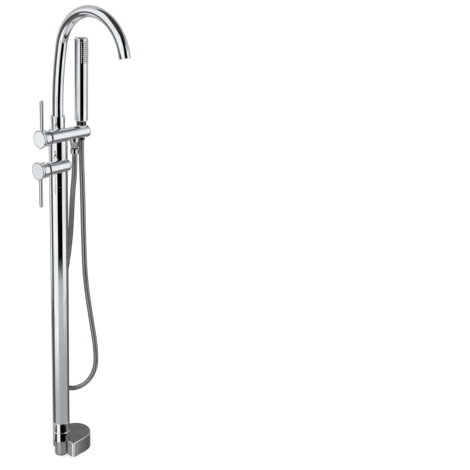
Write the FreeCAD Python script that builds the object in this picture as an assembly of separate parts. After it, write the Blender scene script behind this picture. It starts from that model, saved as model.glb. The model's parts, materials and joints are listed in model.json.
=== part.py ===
import FreeCAD, Part
import math
import os

os.makedirs("parts", exist_ok=True)

V = FreeCAD.Vector
X = V(1, 0, 0)
Y = V(0, 1, 0)
Z = V(0, 0, 1)
FULL_TURN = 360.0

# Frame: millimetres, +Z up, floor at 0. The column's axis is Z, the spout points to +X,
# the cross bars run along Y with their knobs at -Y and the hand shower at the +Y end.

# Gaps and cuts
overrun = 5.0           # how far a cutting tool runs past a face
fit_gap = 0.1           # radial, between pieces of one body that push together
turn_gap = 0.3          # between bodies that move past each other
shaft_gap = 0.05        # radial, a pin or stem that turns in its bore

# Base on the floor
cover_half_width = 38.0
cover_front = 4.4       # flat front face, from the column's axis
cover_depth = 75.6
cover_height = 39.5
cover_wall = 2.5
cover_corner = 4.5
cover_edge = 1.5
plate_thickness = 8.0
anchor_radius = 4.5
anchor_spacing_x = 42.0
anchor_spacing_y = 44.0
lug_half_width = 12.5
lug_thickness = 5.0
lug_reach = 25.0
block_half_width = 30.0
block_front = 26.5
block_depth = 23.0
block_thickness = 6.0   # the flange on the plate
block_lip = 2.5         # how far the flange overlaps the plate, front and back
block_core_half_width = 20.5
inlet_radius = 7.6      # female 3/8 inch pipe thread
inlet_depth = 10.0
inlet_spacing = 21.0
screw_radius = 2.5
screw_head_radius = 4.0
screw_head_height = 4.0
screw_tail = 1.0        # screw tip above the floor
lug_screw_spacing = 15.0
lug_screw_inset = 5.0
block_screw_spacing = 50.0

# Supply pipes
pipe_radius = 4.0
pipe_wall = 0.8
pipe_spacing = 13.0
pipe_bend = 16.0
pipe_grip = 3.0         # length held in the inlet block
pipe_socket = 10.0      # length held in the valve body

# Neck, collars and column
neck_radius = 15.0
neck_wall = 3.5
neck_overlap = 40.0     # standpipe above the collars
window_margin = 3.0
collar_step = 0.2       # collar proud of the column
collar_height = 25.5
collar_chamfer = 1.2
bush_height = 30.0
column_radius = 20.0
column_wall = 2.0
column_length = 584.5   # tube from the collars to the valve body's seam
grub_radius = 2.0

# Valve body and cross bars
spigot_length = 24.0
spigot_wall = 4.0
body_cavity = 27.0      # hollow above the seam
body_rise = 7.0         # shoulder above the upper bar's axis
body_edge = 2.0
bar_radius = 13.5
bar_wall = 3.0
bar_offset = 20.0       # bars' axes in front of the column's
bar_end_round = 6.0
upper_bar_rise = 113.7  # upper bar's axis above the seam
upper_bar_near = 43.5   # knob end, from the column's axis
upper_bar_far = 65.4
lower_bar_drop = 66.1   # lower bar below the upper one
lower_bar_near = 49.0
lower_bar_far = 10.5
chamber_depth = 35.5

# Knobs and levers
knob_gap = 2.8
knob_length = 20.1
knob_face_radius = 18.75
knob_skirt_step = 3.0   # skirt outside the bar
knob_wall = 2.0
knob_rim = 3.0          # width of the straight rim at the face
knob_flare = 5.0        # length of the taper behind the rim
knob_chamfer = 0.5
cap_inset = 1.35
cap_groove = 0.3
cap_thickness = 2.0
knob_front_wall = 3.0
hub_radius = 6.0
hub_length = 11.0
stem_radius = 3.0
stem_seat = 1.0         # stem's end inside the front wall
lever_back = 7.5        # lever's axis behind the knob's face
lever_radius = 4.2
lever_reach = 79.5      # tip from the bar's axis
lever_stud_radius = 2.5
set_screw_radius = 1.5
set_screw_back = 12.0

# Mixer mechanism
mixer_nut_thickness = 2.1
mixer_nut_wall = 2.2
carrier_length = 11.5
pivot_depth = 7.5       # tilt axis behind the bar's end
eye_radius = 3.5
eye_width = 6.0
pivot_pin_radius = 1.5
pivot_pin_length = 17.0
slot_gap = 0.5

# Diverter mechanism
diverter_nut_thickness = 5.0
diverter_stem_depth = 12.0

# Spout
socket_radius = 14.9
socket_height = 30.3
socket_floor = 3.3
spout_radius = 11.75
spout_wall = 1.5
spout_sink = 2.0        # tube's foot below the socket's mouth
riser_height = 10.0     # straight tube above the socket
riser_lean = 12.0       # how far the riser leans towards the crown
crown_radius = 91.0
crown_rise = 121.5      # crown's centre above the riser's straight foot
tip_angle = 14.5        # degrees that the spout stops short of hanging straight
tip_straight = 10.0     # straight end that takes the aerator
spigot_bore_radius = 8.0
oring_radius = 0.85
oring_flats = 8
oring_shares = (0.3, 0.7)
aerator_wall = 2.0
aerator_recess = 1.0
screen_thickness = 2.0
screen_hole_radius = 0.9
screen_rings = (6, 12)
screen_ring_step = 3.4

# Hose outlet under the upper bar
outlet_along = 28.0     # from the column's axis
outlet_radius = 10.6
outlet_straight = 4.0
outlet_taper = 14.0
outlet_foot_radius = 7.8
outlet_thread_radius = 6.0
outlet_thread_length = 8.0
outlet_washer_radius = 7.0
outlet_washer_thickness = 2.0
outlet_nut_radius = 9.2
outlet_nut_length = 12.0
outlet_nut_chamfer = 1.2
water_bore_radius = 3.5

# Hand shower and its cradle
hand_along = 47.0
hand_radius = 14.0
hand_wall = 1.5
cradle_radius = 10.0
cradle_flange_radius = 10.8
cradle_flat_share = 0.8   # depth of the flat, as a share of the bar's radius
cradle_seat_rise = 1.3    # seat above the bar's top
cradle_mouth_radius = 9.3
cradle_throat_radius = 8.0
nut_gap = 0.4
nut_end_drop = 4.2        # hose nut below the bar
nut_shoulder = 9.5        # neck of the hose nut above the seat
nut_shoulder_radius = 10.2
tail_collar = 7.0
tail_chamfer = 1.5
tail_thread_radius = 6.0
tail_thread_length = 15.0
tail_plug = 8.0
hand_washer_thickness = 1.5
hand_length = 182.5       # above the seat
hand_cap_height = 6.0
hand_cap_round = 3.0
hand_cap_plug = 4.0
spray_low = 50.9          # spray strip's foot and head, below the hand shower's top
spray_high = 6.5
spray_half_angle = 50.0
spray_proud = 0.3
nozzle_radius = 0.8
nozzle_height = 0.8
nozzle_rows = 11
nozzle_columns = 5
nozzle_angle_share = 0.8
core_radius = 6.0
core_wall = 1.5
core_flange = 3.0
core_gap = 2.0            # flange below the spray strip

# Hose: ribbed metal, its loop as it hangs
hose_radius = 6.0
hose_root_radius = 5.5
hose_bore_radius = 4.0
hose_ribs = 120
rib_shares = (0.0, 0.22, 0.62, 0.84)
hose_bend_share = 0.45

# Worked-out places
cover_back = cover_front + cover_depth
cover_centre = cover_back - cover_half_width
anchor_centre = (cover_front + cover_back) / 2
block_top = plate_thickness + block_thickness
block_centre = block_front + block_depth / 2
pipe_level = block_top + pipe_bend
neck_bore = neck_radius - neck_wall
collar_radius = column_radius + collar_step
collar_top = cover_height + 2 * collar_height
column_bore = column_radius - column_wall
seam_height = collar_top + column_length
upper_bar_height = seam_height + upper_bar_rise
lower_bar_height = upper_bar_height - lower_bar_drop
chamber_radius = bar_radius - bar_wall
body_top = upper_bar_height + body_rise
cavity_top = seam_height + body_cavity
pipe_top = cavity_top + pipe_socket
skirt_radius = bar_radius + knob_skirt_step
stem_end_back = cap_thickness + knob_front_wall - stem_seat
hub_end_back = cap_thickness + knob_front_wall + hub_length
socket_top = body_top + socket_height
socket_bore = spout_radius + turn_gap
spout_foot = socket_top - spout_sink
spout_bore = spout_radius - spout_wall
riser_top = socket_top + riser_height
crown_centre_height = riser_top + crown_rise
crown_centre_x = riser_lean + crown_radius
bar_underside = upper_bar_height - bar_radius
outlet_low = bar_underside - outlet_straight - outlet_taper
outlet_nut_top = outlet_low - outlet_washer_thickness
hose_start_height = outlet_nut_top - outlet_nut_length
cradle_flat = upper_bar_height + bar_radius * cradle_flat_share
seat_height = upper_bar_height + bar_radius + cradle_seat_rise
hose_end_height = bar_underside - nut_end_drop
nut_top = seat_height + nut_shoulder
hand_top = seat_height + hand_length
hand_cap_low = hand_top - hand_cap_height
tube_low = nut_top + tail_collar
hand_bore = hand_radius - hand_wall


def turned(profile, base, axis):
    """Solid of revolution from (radius, height) pairs, with its foot at base."""
    points = [V(radius, 0, height) for radius, height in profile]
    outline = Part.makePolygon(points + points[:1])
    solid = Part.Face(outline).revolve(V(0, 0, 0), Z, FULL_TURN)
    solid.Placement = FreeCAD.Placement(base, FreeCAD.Rotation(Z, axis))
    return solid


def rod(radius, length, base, axis):
    return Part.makeCylinder(radius, length, base, axis)


def ring(outer, inner, height, base, axis):
    return rod(outer, height, base, axis).cut(rod(inner, height, base, axis))


def block(low, high):
    """Box between two corners."""
    return Part.makeBox(high.x - low.x, high.y - low.y, high.z - low.z, low)


def swept(path, radius, start, direction):
    """Round bar of one radius along a wire."""
    circle = Part.Wire(Part.makeCircle(radius, start, direction))
    return path.makePipeShell([circle], True, False)


def save(name, shape):
    shape.exportStep("parts/" + name + ".step")


def cover_plan(inset, height):
    """Solid on the floor with the base's D plan: flat front, round back."""
    side = cover_half_width - inset
    front = cover_front + inset
    corner = cover_corner - inset
    shift = corner * math.sqrt(0.5)
    inner_x = side - corner
    inner_y = front + corner
    edges = [
        Part.LineSegment(V(-inner_x, front, 0), V(inner_x, front, 0)),
        Part.Arc(V(inner_x, front, 0), V(inner_x + shift, inner_y - shift, 0), V(side, inner_y, 0)),
        Part.LineSegment(V(side, inner_y, 0), V(side, cover_centre, 0)),
        Part.Arc(V(side, cover_centre, 0), V(0, cover_centre + side, 0), V(-side, cover_centre, 0)),
        Part.LineSegment(V(-side, cover_centre, 0), V(-side, inner_y, 0)),
        Part.Arc(V(-side, inner_y, 0), V(-inner_x - shift, inner_y - shift, 0), V(-inner_x, front, 0)),
    ]
    outline = Part.Wire([edge.toShape() for edge in edges])
    return Part.Face(outline).extrude(V(0, 0, height))


def base_cover():
    shell = cover_plan(0, cover_height)
    top_edges = [edge for edge in shell.Edges if edge.BoundBox.ZMin > cover_height - cover_edge]
    shell = shell.makeFillet(cover_edge, top_edges)
    shell = shell.cut(cover_plan(cover_wall, cover_height - cover_wall))
    return shell.cut(rod(neck_radius + fit_gap, cover_height + overrun, V(0, 0, 0), Z))


def screw_places():
    """Cap screws of the base: (place under the head)."""
    lug_y = lug_reach - lug_screw_inset
    places = []
    for side in (-1, 1):
        places.append(V(side * lug_screw_spacing / 2, lug_y, plate_thickness + lug_thickness))
        places.append(V(side * block_screw_spacing / 2, block_centre, block_top))
    return places


def drill_screws(shape):
    for place in screw_places():
        tip = V(place.x, place.y, screw_tail)
        shape = shape.cut(rod(screw_radius + fit_gap, place.z - screw_tail, tip, Z))
    return shape


def base_screws():
    screws = []
    for place in screw_places():
        tip = V(place.x, place.y, screw_tail)
        shank = rod(screw_radius, place.z - screw_tail, tip, Z)
        screws.append(shank.fuse(rod(screw_head_radius, screw_head_height, place, Z)).removeSplitter())
    return Part.makeCompound(screws)


def floor_plate():
    plate = cover_plan(cover_wall + fit_gap, plate_thickness)
    plate = plate.cut(rod(neck_radius + fit_gap, plate_thickness, V(0, 0, 0), Z))
    core_side = block_core_half_width + fit_gap
    core_low = block_front + block_lip - fit_gap
    core_high = block_front + block_depth - block_lip + fit_gap
    plate = plate.cut(block(V(-core_side, core_low, 0), V(core_side, core_high, plate_thickness)))
    for side_x in (-1, 1):
        for side_y in (-1, 1):
            x = side_x * anchor_spacing_x / 2
            y = anchor_centre + side_y * anchor_spacing_y / 2
            plate = plate.cut(rod(anchor_radius, plate_thickness, V(x, y, 0), Z))
    return drill_screws(plate)


def standpipe():
    height = collar_top + neck_overlap
    pipe = rod(neck_radius, height, V(0, 0, 0), Z)
    lug_low = V(-lug_half_width, 0, plate_thickness)
    pipe = pipe.fuse(block(lug_low, V(lug_half_width, lug_reach, plate_thickness + lug_thickness)))
    pipe = pipe.cut(rod(neck_bore, height, V(0, 0, plate_thickness), Z))
    window_low = V(-neck_bore, 0, pipe_level - pipe_radius - window_margin)
    pipe = pipe.cut(block(window_low, V(neck_bore, neck_radius + overrun, cover_height)))
    return drill_screws(pipe)


def inlet_block():
    core_low = V(-block_core_half_width, block_front + block_lip, 0)
    core_high = V(block_core_half_width, block_front + block_depth - block_lip, plate_thickness)
    flange_low = V(-block_half_width, block_front, plate_thickness)
    flange_high = V(block_half_width, block_front + block_depth, block_top)
    solid = block(core_low, core_high).fuse(block(flange_low, flange_high)).removeSplitter()
    for side in (-1, 1):
        solid = solid.cut(rod(inlet_radius, inlet_depth, V(side * inlet_spacing / 2, block_centre, 0), Z))
        seat = V(side * pipe_spacing / 2, block_centre, block_top - pipe_grip)
        solid = solid.cut(rod(pipe_radius + fit_gap, pipe_grip, seat, Z))
        solid = solid.cut(rod(pipe_radius - pipe_wall, block_top, V(seat.x, seat.y, 0), Z))
    return drill_screws(solid)


def supply_pipe(side):
    """One supply pipe: up from the inlet block, over into the standpipe and up the column."""
    x = side * pipe_spacing / 2
    shift = pipe_bend * math.sqrt(0.5)
    back = block_centre - pipe_bend
    start = V(x, block_centre, block_top - pipe_grip)
    rise = V(x, block_centre, block_top)
    level_start = V(x, back, pipe_level)
    level_end = V(x, pipe_bend, pipe_level)
    column_foot = V(x, 0, pipe_level + pipe_bend)
    edges = [
        Part.LineSegment(start, rise),
        Part.Arc(rise, V(x, back + shift, block_top + shift), level_start),
        Part.LineSegment(level_start, level_end),
        Part.Arc(level_end, V(x, pipe_bend - shift, column_foot.z - shift), column_foot),
        Part.LineSegment(column_foot, V(x, 0, pipe_top)),
    ]
    path = Part.Wire([edge.toShape() for edge in edges])
    outside = swept(path, pipe_radius, start, Z)
    return outside.cut(swept(path, pipe_radius - pipe_wall, start, Z))


def collar(low):
    """One ring at the column's foot; the chamfers make the groove between the two."""
    bore = neck_radius + fit_gap
    edge = collar_radius - collar_chamfer
    high = collar_height - collar_chamfer
    profile = [(bore, 0), (edge, 0), (collar_radius, collar_chamfer), (collar_radius, high),
               (edge, collar_height), (bore, collar_height)]
    return turned(profile, V(0, 0, low), Z)


def collar_screw():
    height = collar_top - collar_height / 2
    length = collar_radius - neck_radius - fit_gap
    return rod(grub_radius, length - collar_chamfer, V(-neck_radius - fit_gap, 0, height), -X)


def upper_collar():
    height = collar_top - collar_height / 2
    hole = rod(grub_radius, collar_radius, V(-neck_radius, 0, height), -X)
    return collar(cover_height + collar_height).cut(hole)


def bar(near, far, height):
    """One cross bar, round at its far end."""
    solid = rod(bar_radius, near + far, V(bar_offset, -near, height), Y)
    end_edges = [edge for edge in solid.Edges if edge.BoundBox.YMin > far - bar_end_round]
    return solid.makeFillet(bar_end_round, end_edges)


def valve_body():
    body = rod(column_radius, body_top - seam_height, V(0, 0, seam_height), Z)
    top_edges = [edge for edge in body.Edges if edge.BoundBox.ZMin > body_top - body_edge]
    body = body.makeFillet(body_edge, top_edges)
    spigot = rod(column_bore - fit_gap, spigot_length, V(0, 0, seam_height - spigot_length), Z)
    upper = bar(upper_bar_near, upper_bar_far, upper_bar_height)
    lower = bar(lower_bar_near, lower_bar_far, lower_bar_height)
    body = body.fuse([spigot, upper, lower])
    cavity_radius = column_bore - spigot_wall
    cuts = [rod(cavity_radius, spigot_length + body_cavity, V(0, 0, seam_height - spigot_length), Z)]
    for side in (-1, 1):
        cuts.append(rod(pipe_radius + fit_gap, pipe_socket, V(side * pipe_spacing / 2, 0, cavity_top), Z))
    cuts.append(rod(chamber_radius, chamber_depth, V(bar_offset, -upper_bar_near, upper_bar_height), Y))
    cuts.append(rod(chamber_radius, chamber_depth, V(bar_offset, -lower_bar_near, lower_bar_height), Y))
    cuts.append(rod(spigot_bore_radius, socket_height, V(0, 0, body_top - socket_height), Z))
    thread_foot = V(bar_offset, outlet_along, bar_underside)
    cuts.append(rod(outlet_thread_radius + fit_gap, outlet_thread_length, thread_foot, Z))
    cradle_foot = V(bar_offset, hand_along, bar_underside)
    cuts.append(rod(cradle_radius + fit_gap, 2 * bar_radius, cradle_foot, Z))
    flat_foot = V(bar_offset, hand_along, cradle_flat)
    cuts.append(rod(cradle_flange_radius + fit_gap, bar_radius, flat_foot, Z))
    cuts.append(rod(socket_radius + fit_gap, bar_radius, V(0, 0, body_top), Z))
    return body.cut(cuts)


def knob_outline():
    """Outer (radius, distance behind the face) pairs of a knob, from its face to its skirt."""
    return [(knob_face_radius - knob_chamfer, 0), (knob_face_radius, knob_chamfer),
            (knob_face_radius, knob_rim), (skirt_radius, knob_rim + knob_flare),
            (skirt_radius, knob_length - knob_chamfer), (skirt_radius - knob_chamfer, knob_length)]


def knob_parts(near, height, up):
    """Knob, cap, lever and set screw on a bar that ends at -near; the lever points up (1) or down (-1)."""
    face = V(bar_offset, -near - knob_gap - knob_length, height)
    recess = knob_face_radius - cap_inset
    skirt_bore = skirt_radius - knob_wall
    front_back = cap_thickness + knob_front_wall
    stem_bore = stem_radius + shaft_gap
    profile = [(0, cap_thickness), (recess, cap_thickness), (recess, 0)] + knob_outline()
    profile += [(skirt_bore, knob_length), (skirt_bore, front_back), (hub_radius, front_back),
                (hub_radius, hub_end_back), (stem_bore, hub_end_back), (stem_bore, stem_end_back),
                (0, stem_end_back)]
    knob = turned(profile, face, Y)
    cap = rod(recess - cap_groove, cap_thickness, face, Y)

    lever_axis = Z * up
    lever_foot = face + Y * lever_back
    straight = lever_reach - lever_radius
    lever = rod(lever_radius, straight, lever_foot, lever_axis)
    lever = lever.fuse(Part.makeSphere(lever_radius, lever_foot + lever_axis * straight)).removeSplitter()
    lever = lever.cut(turned([(0, 0)] + knob_outline() + [(0, knob_length)], face, Y))
    stud_foot = lever_foot + lever_axis * skirt_bore
    stud = rod(lever_stud_radius, lever_radius + knob_wall, stud_foot, lever_axis)
    lever = lever.fuse(stud).removeSplitter()
    knob = knob.cut(rod(lever_stud_radius, 2 * knob_wall + overrun, stud_foot, lever_axis))

    screw_axis = lever_axis * -1
    screw_place = face + Y * set_screw_back
    screw_foot = screw_place + screw_axis * stem_bore
    knob = knob.cut(rod(set_screw_radius, skirt_radius + overrun, screw_foot, screw_axis))
    screw = rod(set_screw_radius, hub_radius - stem_bore, screw_foot, screw_axis)
    return knob, cap, lever, screw


def mixer_place(depth):
    """Point on the upper bar's axis, so far behind its knob end."""
    return V(bar_offset, depth - upper_bar_near, upper_bar_height)


def mixer_nut():
    inner = chamber_radius - mixer_nut_wall
    return ring(chamber_radius, inner, mixer_nut_thickness, mixer_place(0), Y)


def mixer_carrier():
    front = mixer_nut_thickness + turn_gap
    carrier = rod(chamber_radius - turn_gap, carrier_length, mixer_place(front), Y)
    slot_half = eye_width / 2 + turn_gap
    centre = mixer_place(0)
    slot_back = pivot_depth + eye_radius + slot_gap
    slot_low = centre + V(-slot_half, -overrun, -chamber_radius)
    carrier = carrier.cut(block(slot_low, centre + V(slot_half, slot_back, chamber_radius)))
    pin_foot = mixer_place(pivot_depth) - X * (pivot_pin_length / 2)
    return carrier.cut(rod(pivot_pin_radius, pivot_pin_length, pin_foot, X))


def mixer_pin():
    return rod(pivot_pin_radius, pivot_pin_length, mixer_place(pivot_depth) - X * (pivot_pin_length / 2), X)


def mixer_stem():
    pivot = mixer_place(pivot_depth)
    eye = rod(eye_radius, eye_width, pivot - X * (eye_width / 2), X)
    length = pivot_depth + knob_gap + knob_length - stem_end_back
    stem = eye.fuse(rod(stem_radius, length, pivot, -Y)).removeSplitter()
    bore = pivot_pin_radius + shaft_gap
    return stem.cut(rod(bore, eye_width + overrun, pivot - X * ((eye_width + overrun) / 2), X))


def mixer_cartridge():
    front = mixer_nut_thickness + carrier_length + 2 * turn_gap
    return rod(chamber_radius - fit_gap, chamber_depth - front, mixer_place(front), Y)


def diverter_place(depth):
    """Point on the lower bar's axis, so far behind its knob end."""
    return V(bar_offset, depth - lower_bar_near, lower_bar_height)


def diverter_nut():
    return ring(chamber_radius, stem_radius + shaft_gap, diverter_nut_thickness, diverter_place(0), Y)


def diverter_cartridge():
    foot = diverter_place(diverter_nut_thickness)
    solid = rod(chamber_radius - fit_gap, chamber_depth - diverter_nut_thickness, foot, Y)
    return solid.cut(rod(stem_radius + turn_gap, diverter_stem_depth + turn_gap, foot, Y))


def diverter_stem():
    length = diverter_nut_thickness + diverter_stem_depth + knob_gap + knob_length - stem_end_back
    return rod(stem_radius, length, diverter_place(diverter_nut_thickness + diverter_stem_depth), -Y)


def spout_inward():
    """Direction from the spout's open end back up its tube."""
    angle = math.radians(tip_angle)
    return V(-math.sin(angle), 0, math.cos(angle))


def spout_path():
    """Straight foot, a long gentle bend, the crown and a straight end, tangent to each other."""
    bend = 2 * math.atan2(riser_lean, crown_rise)
    riser_radius = crown_rise / math.sin(bend) + crown_radius

    def riser_point(angle):
        return V(riser_radius * (1 - math.cos(angle)), 0, riser_top + riser_radius * math.sin(angle))

    def crown_point(angle):
        return V(crown_centre_x - crown_radius * math.cos(angle), 0,
                 crown_centre_height + crown_radius * math.sin(angle))

    last = math.pi - math.radians(tip_angle)
    tip = crown_point(last) - spout_inward() * tip_straight
    edges = [
        Part.LineSegment(V(0, 0, spout_foot), V(0, 0, riser_top)),
        Part.Arc(V(0, 0, riser_top), riser_point(bend / 2), riser_point(bend)),
        Part.Arc(crown_point(bend), crown_point((bend + last) / 2), crown_point(last)),
        Part.LineSegment(crown_point(last), tip),
    ]
    return Part.Wire([edge.toShape() for edge in edges]), tip


def spout_tube(path):
    start = V(0, 0, spout_foot)
    return swept(path, spout_radius, start, Z).cut(swept(path, spout_bore, start, Z))


def oring_heights():
    low = body_top + socket_floor + turn_gap
    return [low + share * (spout_foot - low) for share in oring_shares]


def oring_mean_radius():
    return spout_radius - oring_radius


def spout_spigot():
    low = body_top + socket_floor + turn_gap
    spigot = ring(spout_radius, spigot_bore_radius, spout_foot - low, V(0, 0, low), Z)
    groove_floor = oring_mean_radius() - oring_radius
    for height in oring_heights():
        half = oring_radius + fit_gap
        foot = V(0, 0, height - half)
        spigot = spigot.cut(ring(spout_radius + overrun, groove_floor, 2 * half, foot, Z))
    return spigot


def spout_orings():
    """Seal rings, their round section made of a few flats."""
    profile = []
    for flat in range(oring_flats):
        turn = 2 * math.pi * flat / oring_flats
        profile.append((oring_mean_radius() + oring_radius * math.cos(turn), oring_radius * math.sin(turn)))
    return Part.makeCompound([turned(profile, V(0, 0, height), Z) for height in oring_heights()])


def spout_socket():
    socket = rod(socket_radius, socket_height, V(0, 0, body_top), Z)
    socket = socket.cut(rod(spigot_bore_radius, socket_height, V(0, 0, body_top), Z))
    socket = socket.cut(rod(socket_bore, socket_height, V(0, 0, body_top + socket_floor), Z))
    return socket.cut(rod(grub_radius, socket_radius, V(-socket_bore, 0, body_top + socket_height / 2), -X))


def socket_screw():
    length = socket_radius - socket_bore - fit_gap
    return rod(grub_radius, length, V(-socket_bore - fit_gap / 2, 0, body_top + socket_height / 2), -X)


def aerator(tip):
    """Housing and screen in the spout's open end."""
    inward = spout_inward()
    foot = tip + inward * aerator_recess
    inner = spout_bore - aerator_wall
    housing = ring(spout_bore - fit_gap, inner, tip_straight - aerator_recess, foot, inward)
    screen_foot = foot + inward * screen_thickness
    screen = rod(inner, screen_thickness, V(0, 0, 0), Z)
    holes = [rod(screen_hole_radius, screen_thickness, V(0, 0, 0), Z)]
    for number, count in enumerate(screen_rings):
        for turn in range(count):
            hole = rod(screen_hole_radius, screen_thickness, V(screen_ring_step * (number + 1), 0, 0), Z)
            hole.rotate(V(0, 0, 0), Z, FULL_TURN * turn / count)
            holes.append(hole)
    screen = screen.cut(holes)
    screen.Placement = FreeCAD.Placement(screen_foot, FreeCAD.Rotation(Z, inward))
    return housing, screen


def upper_bar_rod():
    """The upper bar's full round, for pieces that follow it."""
    return rod(bar_radius, upper_bar_near + upper_bar_far, mixer_place(0), Y)


def outlet_nipple():
    """Tapered outlet, saddled on the bar's underside and screwed into it."""
    foot = V(bar_offset, outlet_along, outlet_low)
    straight_top = outlet_taper + outlet_straight + bar_radius
    profile = [(0, 0), (outlet_foot_radius, 0), (outlet_radius, outlet_taper),
               (outlet_radius, straight_top), (0, straight_top)]
    nipple = turned(profile, foot, Z).cut(upper_bar_rod())
    nipple = min(nipple.Solids, key=lambda solid: solid.BoundBox.ZMin)
    shank = outlet_taper + outlet_straight + outlet_thread_length
    nipple = nipple.fuse(rod(outlet_thread_radius, shank, foot, Z)).removeSplitter()
    return nipple.cut(rod(water_bore_radius, shank, foot, Z))


def outlet_washer():
    foot = V(bar_offset, outlet_along, outlet_nut_top)
    return ring(outlet_washer_radius, water_bore_radius, outlet_washer_thickness, foot, Z)


def outlet_nut():
    edge = outlet_nut_radius - outlet_nut_chamfer
    high = outlet_nut_length - outlet_nut_chamfer
    profile = [(water_bore_radius, 0), (edge, 0), (outlet_nut_radius, outlet_nut_chamfer),
               (outlet_nut_radius, high), (edge, outlet_nut_length), (water_bore_radius, outlet_nut_length)]
    return turned(profile, V(bar_offset, outlet_along, hose_start_height), Z)


def hand_place(height):
    return V(bar_offset, hand_along, height)


def cradle_bush():
    """Tapered seat of the hand shower, with a flange on the bar's flat."""
    sleeve = cradle_flat - bar_underside
    height = seat_height - bar_underside
    profile = [(cradle_throat_radius, 0), (cradle_radius, 0), (cradle_radius, sleeve),
               (cradle_flange_radius, sleeve), (cradle_flange_radius, height), (cradle_mouth_radius, height)]
    below_bar = rod(cradle_flange_radius, sleeve, hand_place(bar_underside), Z).cut(upper_bar_rod())
    return turned(profile, hand_place(bar_underside), Z).cut(below_bar)


def hand_nut():
    """Hose nut that stands in the cradle's taper on the shoulder of its neck."""
    cone = seat_height - hose_end_height
    height = cone + nut_shoulder
    wash = height - tail_thread_length - hand_washer_thickness
    bore = tail_thread_radius + fit_gap
    taper = (cradle_mouth_radius - cradle_throat_radius) / (seat_height - bar_underside)
    top_radius = cradle_mouth_radius - nut_gap
    profile = [(water_bore_radius, 0), (top_radius - taper * cone, 0), (top_radius, cone),
               (nut_shoulder_radius, cone), (nut_shoulder_radius, height),
               (bore, height), (bore, wash), (water_bore_radius, wash)]
    return turned(profile, hand_place(hose_end_height), Z)


def hand_washer():
    low = nut_top - tail_thread_length - hand_washer_thickness
    return ring(tail_thread_radius, water_bore_radius, hand_washer_thickness, hand_place(low), Z)


def hand_tail():
    plug_top = tail_thread_length + tail_collar + tail_plug
    collar_high = tail_thread_length + tail_collar
    profile = [(water_bore_radius, 0), (tail_thread_radius, 0), (tail_thread_radius, tail_thread_length),
               (hand_radius - tail_chamfer, tail_thread_length),
               (hand_radius, tail_thread_length + tail_chamfer), (hand_radius, collar_high),
               (hand_bore - fit_gap, collar_high), (hand_bore - fit_gap, plug_top),
               (water_bore_radius, plug_top)]
    return turned(profile, hand_place(nut_top - tail_thread_length), Z)


def spray_sector(inner, outer):
    """Ring sector of the spray strip, facing the spout's way."""
    height = spray_low - spray_high
    sector = [V(inner, 0, 0), V(outer, 0, 0), V(outer, 0, height), V(inner, 0, height)]
    solid = Part.Face(Part.makePolygon(sector + sector[:1])).revolve(V(0, 0, 0), Z, 2 * spray_half_angle)
    solid.rotate(V(0, 0, 0), Z, -spray_half_angle)
    solid.translate(hand_place(hand_top - spray_low))
    return solid


def hand_tube():
    tube = ring(hand_radius, hand_bore, hand_cap_low - tube_low, hand_place(tube_low), Z)
    return tube.cut(spray_sector(hand_bore - overrun, hand_radius + overrun))


def spray_pad():
    pad = spray_sector(hand_bore, hand_radius + spray_proud)
    row_step = (spray_low - spray_high) / nozzle_rows
    column_step = 2 * spray_half_angle * nozzle_angle_share / (nozzle_columns - 1)
    nozzles = []
    for row in range(nozzle_rows):
        height = hand_top - spray_low + (2 * row + 1) * row_step / 2
        for column in range(nozzle_columns):
            turn = math.radians(column_step * (column - (nozzle_columns - 1) / 2))
            outward = V(math.cos(turn), math.sin(turn), 0)
            foot = hand_place(height) + outward * hand_radius
            nozzles.append(rod(nozzle_radius, spray_proud + nozzle_height, foot, outward))
    return pad.fuse(nozzles).removeSplitter()


def hand_cap():
    cap = rod(hand_radius, hand_cap_height, hand_place(hand_cap_low), Z)
    top_edges = [edge for edge in cap.Edges if edge.BoundBox.ZMin > hand_top - hand_cap_round]
    cap = cap.makeFillet(hand_cap_round, top_edges)
    plug = rod(hand_bore - fit_gap, hand_cap_plug, hand_place(hand_cap_low - hand_cap_plug), Z)
    return cap.fuse(plug).removeSplitter()


def hand_core():
    """Inner pipe from the tail to the spray strip."""
    low = tube_low + tail_plug
    high = hand_top - spray_low - core_gap
    core = rod(core_radius, high - low, hand_place(low), Z)
    flange = rod(hand_bore - fit_gap, core_flange, hand_place(high - core_flange), Z)
    core = core.fuse(flange).removeSplitter()
    return core.cut(rod(core_radius - core_wall, high - low, hand_place(low), Z))


def hose_route():
    """Corner points of the hose, from the outlet down round its loop and up to the hand shower."""
    return [
        V(bar_offset, outlet_along, hose_start_height),
        V(bar_offset, outlet_along, 705.0),
        V(6.0, 33.0, 645.0),
        V(-9.0, 40.5, 530.0),
        V(-30.0, 33.0, 400.0),
        V(-44.0, 27.0, 285.0),
        V(-47.5, 24.5, 225.0),
        V(-48.5, 23.7, 172.0),
        V(-16.6, 41.1, 147.5),
        V(12.2, 69.5, 164.0),
        V(28.6, 85.6, 208.0),
        V(28.0, 83.0, 270.0),
        V(25.0, 70.0, 350.0),
        V(23.0, 55.4, 445.0),
        V(22.0, 51.5, 540.0),
        V(21.0, 49.5, 655.0),
        V(bar_offset, hand_along, 730.0),
        V(bar_offset, hand_along, hose_end_height),
    ]


def hose_wire(points):
    """Straight runs joined by tangent arcs."""
    edges = []
    radii = []
    last = points[0]
    for before, corner, after in zip(points, points[1:], points[2:]):
        arrive = corner - before
        leave = after - corner
        half_turn = arrive.getAngle(leave) / 2
        tangent = hose_bend_share * min(arrive.Length, leave.Length)
        arrive.normalize()
        leave.normalize()
        radius = tangent / math.tan(half_turn)
        start = corner - arrive * tangent
        end = corner + leave * tangent
        inward = leave - arrive
        inward.normalize()
        middle = corner + inward * (radius / math.cos(half_turn) - radius)
        edges.append(Part.LineSegment(last, start))
        edges.append(Part.Arc(start, middle, end))
        radii.append(radius)
        last = end
    edges.append(Part.LineSegment(last, points[-1]))
    return edges, radii


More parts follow.
